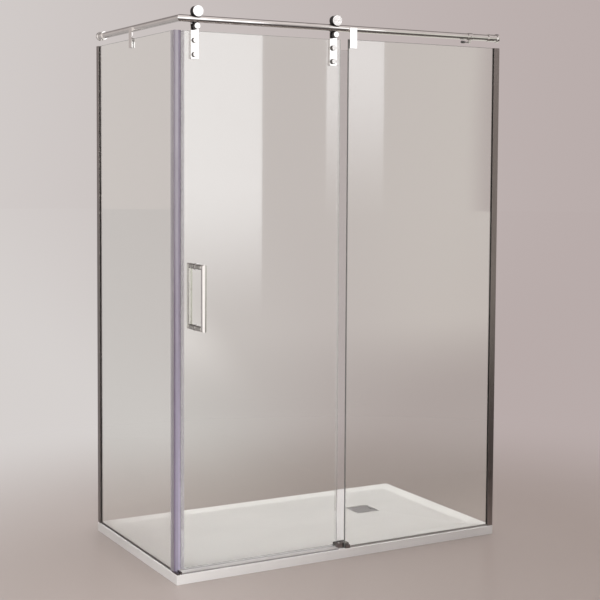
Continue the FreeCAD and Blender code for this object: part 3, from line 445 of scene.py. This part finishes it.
def makeThreshold():  # a bright strip between two edges painted darker as painted shade
    material, g = newFinish("thresholdStrip")
    acrossY = g.along()[1]
    lines = g.noise(g.place(lengthwise), *extrusion["line"])
    # the back and front edges are painted dark: painted shade
    edge = g.range(acrossY, threshold["back"], threshold["back"] + threshold["backFade"])
    foot = 1.0 - g.range(acrossY, threshold["front"] - threshold["frontFade"], threshold["front"])
    shade = g.blend(edge.highest(foot) * threshold["edgeShadeShare"], threshold["top"], threshold["line"])
    streaked = g.range(lines, *extrusion["lineSpan"]) * threshold["streakShare"]
    g.finish(g.shader({
        "Base Color": g.blend(streaked, shade, threshold["streak"]), "Metallic": threshold["metal"],
        "Roughness": threshold["rough"] + extrusion["lineRough"] * lines,
        "Normal": g.bump(lines, extrusion["depth"], extrusion["strength"]),
    }))
    return material


rubber = {
    "grain": (2600.0, 2.0), "depth": 0.00004, "strength": 0.4, "patch": (120.0, 4.0, 0.6),
    "patchSpan": (0.4, 0.75), "roughSpread": 0.14, "shine": 0.4,
}


def makeRubber(name, colour, worn, rough):
    material, g = newFinish(name)
    grain = g.noise(g.place(), *rubber["grain"])
    patch = g.noise(g.place(), *rubber["patch"])
    g.finish(g.shader({
        "Base Color": g.blend(g.range(patch, *rubber["patchSpan"]), colour, worn),
        "Roughness": rough + rubber["roughSpread"] * patch, "Specular IOR Level": rubber["shine"],
        "Normal": g.bump(grain, rubber["depth"], rubber["strength"]),
    }))
    return material


finishes = {  # one for each slot but glass, which special holds
    "tray_resin": makeResin(),
    "chrome": makePolished("polishedChrome", polish["colour"], polish["stain"]),
    "bright_aluminium": makeExtruded("brightExtrusion", (0.31, 0.272, 0.26), (0.24, 0.208, 0.20)),
    "dark_chrome": makePolished("darkPlating", (0.20, 0.175, 0.17), (0.12, 0.105, 0.105), extraRough=0.08),
    "steel": makeMachined(),
    "brushed_cover": makeBrushed(),
    "clear_seal": makeVinyl("clearVinyl", (0.82, 0.82, 0.86), (0.74, 0.74, 0.79), cover=0.14),
    "magnet_strip": makeRubber("magnetStrip", (0.48, 0.43, 0.55), (0.40, 0.36, 0.46), rough=0.3),
    "black_nylon": makeRubber("blackNylon", (0.022, 0.020, 0.020), (0.045, 0.043, 0.042), rough=0.34),
    "grey_rubber": makeRubber("greyRubber", (0.12, 0.118, 0.12), (0.2, 0.195, 0.19), rough=0.5),
    # the white_rubber gaskets are drawn nearly black for the dark lines along them, partly painted shade of the
    # gaps
    "white_rubber": makeRubber("gasketRubber", (0.035, 0.03, 0.028), (0.06, 0.055, 0.05), rough=0.45),
}
handlePlating = makeHandlePlating()
special = {  # nodes that look different from the rest of their slot
    # the side and door edges are painted pale as painted light, the fixed pane's edge dark as painted shade
    "side_glass": makeGlass("sideGlass", "side_glass", 1, glass["paintedLightEdge"], cover=0.6),
    "fixed_glass": makeGlass("fixedGlass", "fixed_glass", 0, glass["paintedShadeEdge"], cover=0.85),
    "door_glass": makeGlass("doorGlass", "door_glass", 0, glass["paintedLightEdge"], cover=0.15),
    "corner_seal_profile": makeCornerVinyl(),
    "corner_magnet": makeRubber("cornerMagnet", (0.46, 0.42, 0.56), (0.40, 0.36, 0.49), rough=0.3),
    "door_magnet_profile": makeVinyl("doorVinyl", (0.84, 0.82, 0.90), (0.76, 0.74, 0.83), cover=0.22),
    "door_overlap_seal": makeOverlapVinyl(),
    "threshold_strip": makeThreshold(),
    "roller_caps": makeTurned("turnedCaps", height=2.0315, spread=0.0, radius=0.0205),
    "hanger_cap_bolts": makeTurned("turnedBolts", height=1.907, spread=0.025, radius=0.00975),
    "handle_outer": handlePlating,
    "handle_inner": handlePlating,
    # a darker copy of the profiles' aluminium, as painted shade on the shaded side
    "side_wall_profile": makeExtruded("shadedSideExtrusion", (0.25, 0.222, 0.214), (0.19, 0.168, 0.163)),
    "side_bottom_strip": makeRubber("stripRubber", (0.075, 0.066, 0.062), (0.12, 0.108, 0.1), rough=0.45),
    "fixed_bottom_strip": makeRubber("paleStrip", (0.30, 0.285, 0.27), (0.37, 0.35, 0.335), rough=0.4),
}


def dress(obj, material):
    obj.data.materials.clear()
    obj.data.materials.append(material)


for nodeName, nodeObject in frame["nodes"].items():
    dress(nodeObject, special.get(nodeName) or finishes[slotOf[nodeName]])
print("finishes made:", len(bpy.data.materials))


def newObject(name, data):
    obj = bpy.data.objects.new(name, data)
    bpy.context.scene.collection.objects.link(obj)
    return obj


def keep(obj, body, replaced=()):  # hands a finished piece to the frame
    if replaced:
        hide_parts(*replaced)
    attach(obj, body)


def newTree(name, inputs):
    tree = bpy.data.node_groups.new(name, "GeometryNodeTree")
    tree.interface.new_socket("Geometry", in_out="INPUT", socket_type="NodeSocketGeometry")
    tree.interface.new_socket("Geometry", in_out="OUTPUT", socket_type="NodeSocketGeometry")
    kinds = {int: "NodeSocketInt", float: "NodeSocketFloat", tuple: "NodeSocketVector"}
    for label, value in inputs.items():
        tree.interface.new_socket(label, in_out="INPUT", socket_type=kinds[type(value)])
    g = Graph(tree)
    return g, g.node("NodeGroupInput")


def closeTree(g, shape, material, smooth=True):
    shaded = g.node("GeometryNodeSetShadeSmooth", {}, {"Geometry": shape, "Shade Smooth": smooth})
    plain = g.node("GeometryNodeRealizeInstances", {}, {"Geometry": shaded})
    painted = g.node("GeometryNodeSetMaterial", {}, {"Geometry": plain, "Material": material})
    g.node("NodeGroupOutput", {}, {0: painted})


def grow(name, g, inputs, seed=None):  # runs a tree and keeps its result as a plain mesh
    obj = newObject(name, seed or bpy.data.meshes.new(name))
    modifier = obj.modifiers.new("maker", "NODES")
    modifier.node_group = g.tree
    for item in g.tree.interface.items_tree:
        if item.item_type == "SOCKET" and item.in_out == "INPUT" and item.name in inputs:
            modifier[item.identifier] = inputs[item.name]
    view = bpy.context.evaluated_depsgraph_get()
    mesh = bpy.data.meshes.new_from_object(obj.evaluated_get(view))
    obj.modifiers.remove(modifier)
    obj.data = mesh
    mesh.name = name
    return obj


profileScrew = {
    "Count": 3, "Pitch": 0.643333, "Head Radius": 0.0036, "Top Radius": 0.0029, "Head Height": 0.0016,
    "Head Sides": 28, "Shank Radius": 0.002, "Shank Length": 0.0042, "Shank Sides": 20,
    "Slot Width": 0.0009, "Slot Depth": 0.0010, "Slot Reach": 1.5,
}
screwRows = {  # first screw's seat, and the turn that points its head into the shower
    "profileScrewsSide": {"Start": (-0.6817, 0.3864, 0.356667), "Turn": (0.0, pi / 2, 0.0)},
    "profileScrewsFront": {"Start": (0.6864, -0.3817, 0.356667), "Turn": (-pi / 2, 0.0, 0.0)},
}


def makeProfileScrews():
    g, given = newTree("profileScrews", {**profileScrew, **screwRows["profileScrewsSide"]})
    step = g.node("ShaderNodeCombineXYZ", {}, {2: given.also("Pitch")})
    row = g.node("GeometryNodeMeshLine", {}, {
        "Count": given.also("Count"), "Start Location": given.also("Start"), "Offset": step,
    })
    head = g.node("GeometryNodeMeshCone", {}, {
        "Vertices": given.also("Head Sides"), "Radius Top": given.also("Top Radius"),
        "Radius Bottom": given.also("Head Radius"), "Depth": given.also("Head Height"),
    })
    reach, width = given.also("Top Radius") * given.also("Slot Reach"), given.also("Slot Width")
    deep = given.also("Slot Depth") * 2.0  # the cut is centred on the head's top face
    lift = g.node("ShaderNodeCombineXYZ", {}, {2: given.also("Head Height")})
    cuts = []
    for acrossX, acrossY in ((reach, width), (width, reach)):
        size = g.node("ShaderNodeCombineXYZ", {}, {0: acrossX, 1: acrossY, 2: deep})
        bar = g.node("GeometryNodeMeshCube", {}, {"Size": size})
        cuts.append(g.node("GeometryNodeTransform", {}, {"Geometry": bar, "Translation": lift}))
    head = g.node("GeometryNodeMeshBoolean", {"operation": "DIFFERENCE"}, {0: head, 1: cuts})
    drop = g.node("ShaderNodeCombineXYZ", {}, {2: given.also("Shank Length") * -0.5})
    shank = g.node("GeometryNodeMeshCylinder", {}, {
        "Vertices": given.also("Shank Sides"), "Radius": given.also("Shank Radius"),
        "Depth": given.also("Shank Length"),
    })
    shank = g.node("GeometryNodeTransform", {}, {"Geometry": shank, "Translation": drop})
    screw = g.node("GeometryNodeJoinGeometry", {}, {0: [head, shank]})
    many = g.node("GeometryNodeInstanceOnPoints", {}, {
        "Points": row, "Instance": screw, "Rotation": given.also("Turn"),
    })
    closeTree(g, many, finishes["chrome"], smooth=False)
    for obj in [grow(name, g, {**profileScrew, **place}) for name, place in screwRows.items()]:
        keep(obj, "root", ("profile_side_screws",))


makeProfileScrews()
print("profile screws made")


flutes = {
    "Count": 4, "Pitch": 0.0034, "Rib Radius": 0.00055, "Rib Sides": 10, "Length": 1.93,
    "Start": (-0.6925, -0.36435, 0.035),
}
doorFlutes = {
    "Count": 3, "Pitch": 0.0042, "Rib Radius": 0.0005, "Rib Sides": 10, "Length": 1.92,
    "Start": (-0.6676, -0.36435, 0.045),
}


def makeFlutes():  # fine ribs down the face of the corner profiles
    g, given = newTree("sealFlutes", flutes)
    step = g.node("ShaderNodeCombineXYZ", {}, {0: given.also("Pitch")})
    row = g.node("GeometryNodeMeshLine", {}, {
        "Count": given.also("Count"), "Start Location": given.also("Start"), "Offset": step,
    })
    rise = g.node("ShaderNodeCombineXYZ", {}, {2: given.also("Length")})
    spine = g.node("GeometryNodeCurvePrimitiveLine", {}, {"Start": (0.0, 0.0, 0.0), "End": rise})
    section = g.node("GeometryNodeCurvePrimitiveCircle", {}, {
        "Resolution": given.also("Rib Sides"), "Radius": given.also("Rib Radius"),
    })
    rib = g.node("GeometryNodeCurveToMesh", {}, {"Curve": spine, "Profile Curve": section, "Fill Caps": True})
    many = g.node("GeometryNodeInstanceOnPoints", {}, {"Points": row, "Instance": rib})
    closeTree(g, many, special["corner_seal_profile"])
    keep(grow("cornerFlutes", g, flutes), "root")
    fine = grow("doorFlutes", g, doorFlutes)
    dress(fine, special["door_magnet_profile"])
    keep(fine, "door")


makeFlutes()
print("seal flutes made")


bead = {"Bead Radius": 0.0022, "Sides": 14}
beadPaths = {
    "sideBead": [(-0.6850, -0.332, 0.035), (-0.6850, 0.375, 0.035), (-0.6817, 0.375, 0.035),
                 (-0.6817, 0.3995, 0.035)],
    "fixedBead": [(0.024, -0.3850, 0.035), (0.675, -0.3850, 0.035), (0.675, -0.3817, 0.035),
                  (0.6995, -0.3817, 0.035)],
}


def makeBeads():  # sealant along the inside of the fixed panels
    sealant = makeVinyl("sealant", (0.80, 0.79, 0.80), (0.72, 0.71, 0.72), cover=0.5, stretch=(1.0, 1.0, 1.0))
    g, given = newTree("sealantBead", bead)
    spine = g.node("GeometryNodeMeshToCurve", {}, {"Mesh": given})
    section = g.node("GeometryNodeCurvePrimitiveCircle", {}, {
        "Resolution": given.also("Sides"), "Radius": given.also("Bead Radius"),
    })
    run = g.node("GeometryNodeCurveToMesh", {}, {"Curve": spine, "Profile Curve": section, "Fill Caps": True})
    closeTree(g, run, sealant)
    for name, path in beadPaths.items():
        seed = bpy.data.meshes.new(name + "Path")
        seed.from_pydata(path, [(k, k + 1) for k in range(len(path) - 1)], [])
        keep(grow(name, g, bead, seed), "root")


makeBeads()
print("sealant beads made")


feet = {
    "cornerFoot": {"low": (-0.6988, -0.3988, 0.0352), "high": (-0.6865, -0.350, 0.0402), "round": 0.0012},
    "thresholdCap": {"low": (-0.6838, -0.3965, 0.0352), "high": (-0.6775, -0.3650, 0.0442), "round": 0.0012},
}


def makeFeet():  # small dark end pieces at the foot of the corner
    for name, piece in feet.items():
        low, high = Vector(piece["low"]), Vector(piece["high"])
        block = Matrix.Translation((low + high) / 2) @ Matrix.Diagonal((*(high - low), 1.0))
        shape = bmesh.new()
        bmesh.ops.create_cube(shape, size=1.0, matrix=block)
        rounding = {"offset": piece["round"], "segments": 3, "profile": 0.5, "affect": "EDGES"}
        bmesh.ops.bevel(shape, geom=shape.edges[:], **rounding)
        mesh = bpy.data.meshes.new(name)
        shape.to_mesh(mesh)
        shape.free()
        mesh.shade_smooth()
        obj = newObject(name, mesh)
        dress(obj, finishes["dark_chrome"])
        keep(obj, "root")


makeFeet()
print("feet made")


studio = {
    "wallLeft": (0.67, 0.635, 0.62), "paintedShadeWallRight": (0.48, 0.41, 0.40), "wallSpan": (0.1, 0.75),
    "ambient": (0.65, 0.63, 0.62), "floor": (0.345, 0.295, 0.274), "floorVeil": (0.32, 0.274, 0.255),
    "paintedShadeFloorRight": (0.25, 0.203, 0.185), "rightSpan": (-0.6, 1.7), "mottle": (2.0, 5.0), "floorRough": 0.36,
    "mottleRough": 0.08, "floorRadius": 40.0, "floorSides": 96, "floorDrop": 0.0005,
    "fadeMiddle": 0.7, "fadeSpan": (1.0, 3.1), "unseenGlow": 1.1,
}
mirror = {  # what polished pieces and panes show
    "backLow": (0.60, 0.55, 0.53), "backHigh": (0.27, 0.24, 0.235), "frontLeft": (1.0, 0.94, 0.92),
    "frontRight": (0.72, 0.66, 0.64), "beside": (1.35, 1.31, 1.28), "above": (0.36, 0.33, 0.32),
    "level": (0.50, 0.47, 0.46), "levelRight": (0.86, 0.86, 0.78), "dim": (0.26, 0.225, 0.22),
    "floor": (0.10, 0.088, 0.085),
}
heading = {  # where those tones change, as parts of a direction
    "front": (0.38, 0.62), "above": (0.25, 0.5), "beside": (0.30, 0.37), "dip": 0.05, "level": (0.13, 0.22),
    "levelEdge": (0.33, 0.39), "levelRight": (0.46, 0.60), "dim": (0.592, 0.608), "back": (0.15, 0.45),
    "turn": (-0.35, 0.15),
}
onFloor = {  # where they change on the floor, in metres toward the front or to the right
    "ahead": (0.5, 2.0), "dimStart": (0.45, 1.3), "dimEnd": (3.0, 7.0), "dimRight": (-0.8, 0.6),
    "besideStart": (2.0, 4.0), "besideEnd": (-1.2, 0.6),
}


def makeSight(g):  # what a ray has met: nothing but clear pieces, or a polished one
    path = g.node("ShaderNodeLightPath", out="Is Camera Ray")
    seen = (path + path.also("Is Transmission Ray")).clipped()
    mirrored = (path.also("Glossy Depth") > 0.5) * (1.0 - path.also("Is Diffuse Ray"))
    return seen, mirrored


def makeWorld():
    world = bpy.data.worlds.new("studio")
    bpy.context.scene.world = world
    world.use_nodes = True
    g = Graph(world.node_tree)
    seen, mirrored = makeSight(g)
    headX = g.node("ShaderNodeSeparateXYZ", {}, {0: g.node("ShaderNodeTexCoord", out="Generated")})
    headY, headZ = headX.also("Y"), headX.also("Z")
    front = g.blend(g.range(headX, *heading["front"]), mirror["frontLeft"], mirror["frontRight"])
    beside = g.blend(g.range(headZ, *heading["above"]), mirror["beside"], mirror["above"])
    front = g.blend(g.range(headX, *heading["beside"]), beside, front)
    level = 1.0 - g.range(abs(headZ + heading["dip"]), *heading["level"])
    facing = g.blend(g.range(headX, *heading["levelRight"]), mirror["level"], mirror["levelRight"])
    facing = g.blend(g.range(headX, *heading["dim"]), facing, mirror["dim"])
    front = g.blend(level * g.range(headX, *heading["levelEdge"]), front, facing)
    back = g.blend(g.range(headZ, *heading["back"]), mirror["backLow"], mirror["backHigh"])
    tone = g.blend(g.range(headY, *heading["turn"]), front, back)
    around = headX / ((headX * headX + headY * headY) ** 0.5)
    # the backdrop is painted darker towards the right, as painted shade
    wall = g.blend(g.range(around, *studio["wallSpan"]), studio["wallLeft"], studio["paintedShadeWallRight"])
    ambient, plain, inMetal = [
        g.node("ShaderNodeBackground", {}, {0: opaque(shade)}) for shade in (studio["ambient"], wall, tone)
    ]
    surface = g.mixed(mirrored, g.mixed(seen, ambient, plain), inMetal)
    g.node("ShaderNodeOutputWorld", {}, {"Surface": surface})


def makeFloor():
    mesh = bpy.data.meshes.new("studioFloor")
    reach, sides = studio["floorRadius"], studio["floorSides"]
    turns = [2 * pi * k / sides for k in range(sides)]
    ring = [(reach * cos(turn), reach * sin(turn), -studio["floorDrop"]) for turn in turns]
    mesh.from_pydata(ring, [], [list(range(sides))])
    obj = newObject("studioFloor", mesh)
    material, g = newFinish("studioFloor")
    seen, mirrored = makeSight(g)
    acrossX, acrossY, _ = g.along()
    ahead = acrossY + studio["fadeMiddle"]
    far = g.range((acrossX * acrossX + ahead * ahead) ** 0.5, *studio["fadeSpan"])
    mottle = g.noise(g.place(), *studio["mottle"])
    ground = g.blend(mottle, studio["floor"], studio["floorVeil"])
    # the floor is painted darker towards the right, as painted shade
    near = g.shader({
        "Base Color": g.blend(g.range(acrossX, *studio["rightSpan"]), ground, studio["paintedShadeFloorRight"]),
        "Roughness": studio["floorRough"] - studio["mottleRough"] * mottle,
    })
    around = acrossX / ((acrossX * acrossX + acrossY * acrossY) ** 0.5)  # so that it follows the wall's tones
    shown = g.glow(g.blend(g.range(around, *studio["wallSpan"]), studio["wallLeft"], studio["paintedShadeWallRight"]))
    nearer = 0.0 - acrossY
    straight = (1.0 - g.range(abs(around), *heading["beside"])) * g.range(nearer, *onFloor["ahead"])
    facing = g.blend(g.range(around, *heading["levelRight"]), mirror["level"], mirror["levelRight"])
    inMetal = g.glow(g.blend(straight, facing, mirror["beside"]))
    unseen = g.glow(studio["floor"], studio["unseenGlow"])
    pale = g.mixed(far, near, g.mixed(mirrored, g.mixed(seen, unseen, shown), inMetal))
    beside = g.range(nearer, *onFloor["besideStart"]) * (1.0 - g.range(acrossX, *onFloor["besideEnd"]))
    pale = g.mixed(mirrored * beside, pale, g.glow(mirror["beside"]))
    infront, toRight = g.range(nearer, *onFloor["dimStart"]), g.range(acrossX, *onFloor["dimRight"])
    dimmed = mirrored * infront * toRight * (1.0 - g.range(nearer, *onFloor["dimEnd"]))
    g.finish(g.mixed(dimmed, pale, g.glow(mirror["floor"])))
    mesh.materials.append(material)


lamps = {
    "overheadLight": {"place": (0.0, 0.0, 5.0), "aim": (0.0, 0.0, 0.0), "width": 6.0, "height": 6.0,
                      "power": 76.0, "colour": (1.0, 0.99, 0.985), "spread": 7.0},
    "keyLight": {"place": (-1.9, -5.0, 5.2), "aim": (-0.1, -0.6, 0.0), "width": 3.0, "height": 2.6,
                 "power": 33.0, "colour": (1.0, 0.97, 0.95), "spread": 180.0},
    "footLight": {"place": (-1.55, -1.75, 0.45), "aim": (-0.78, -0.2, 0.02), "width": 0.7, "height": 0.5,
                  "power": 1.9, "colour": (0.98, 1.0, 1.0), "spread": 62.0},
}
cardTone, cardFront, cardTop = (0.975, 0.985, 1.0), -4.6, 3.3
cards = {
    "leftCard": {"left": 1.1, "right": 1.86, "foot": 0.2, "strength": 2.2, "fade": (0.3, 1.4)},
    "rightCard": {"left": 2.4, "right": 2.87, "foot": 0.9, "strength": 2.0, "fade": (1.0, 2.3)},
}


def softbox(name, lamp):  # lights the pieces, and isn't mirrored in them
    data = bpy.data.lights.new(name, "AREA")
    data.shape, data.size, data.size_y = "RECTANGLE", lamp["width"], lamp["height"]
    data.energy, data.color, data.spread = lamp["power"], lamp["colour"], radians(lamp["spread"])
    obj = newObject(name, data)
    obj.location = lamp["place"]
    obj.rotation_euler = (Vector(lamp["aim"]) - Vector(lamp["place"])).to_track_quat("-Z", "Y").to_euler()
    obj.visible_camera = obj.visible_transmission = obj.visible_glossy = False


def reflectionCard(name, card):  # a pale card that only polished pieces and panes show
    mesh = bpy.data.meshes.new(name)
    left, right, foot = card["left"], card["right"], card["foot"]
    outline = (left, foot), (right, foot), (right, cardTop), (left, cardTop)
    mesh.from_pydata([(acrossX, cardFront, height) for acrossX, height in outline], [], [(0, 1, 2, 3)])
    obj = newObject(name, mesh)
    material, g = newFinish(name)
    mirrored = makeSight(g)[1]
    shown = mirrored * g.range(g.along()[2], *card["fade"])
    g.finish(g.mixed(shown, g.node("ShaderNodeBsdfTransparent"), g.glow(cardTone, card["strength"])))
    mesh.materials.append(material)


makeWorld()
makeFloor()
for lampName, lampValues in lamps.items():
    softbox(lampName, lampValues)
for cardName, cardValues in cards.items():
    reflectionCard(cardName, cardValues)
print("studio made")


lens = {
    "place": (-2.54272, -4.58690, 1.49187), "yaw": 29.16, "dip": 3.547, "roll": 0.336,
    "focal": 1303.56, "imageWidth": 600.0, "middleRow": 246.92, "sensor": 36.0,
    "nearest": 0.05, "farthest": 200.0,
}


def makeCamera():
    yaw, dip, roll = radians(lens["yaw"]), radians(lens["dip"]), radians(lens["roll"])
    ahead = Vector((sin(yaw) * cos(dip), cos(yaw) * cos(dip), -sin(dip)))
    flat = Vector((cos(yaw), -sin(yaw), 0.0))
    upward = flat.cross(ahead)
    right = cos(roll) * flat + sin(roll) * upward
    over = cos(roll) * upward - sin(roll) * flat
    data = bpy.data.cameras.new("camera")
    data.sensor_width = lens["sensor"]
    data.lens = lens["sensor"] * lens["focal"] / lens["imageWidth"]
    data.shift_y = (lens["middleRow"] - lens["imageWidth"] / 2) / lens["imageWidth"]
    data.clip_start, data.clip_end = lens["nearest"], lens["farthest"]
    obj = newObject("camera", data)
    obj.matrix_world = Matrix.Translation(lens["place"]) @ Matrix((right, over, -ahead)).transposed().to_4x4()
    bpy.context.scene.camera = obj


makeCamera()
bpy.context.scene.view_settings.view_transform = "Standard"
print("camera set")
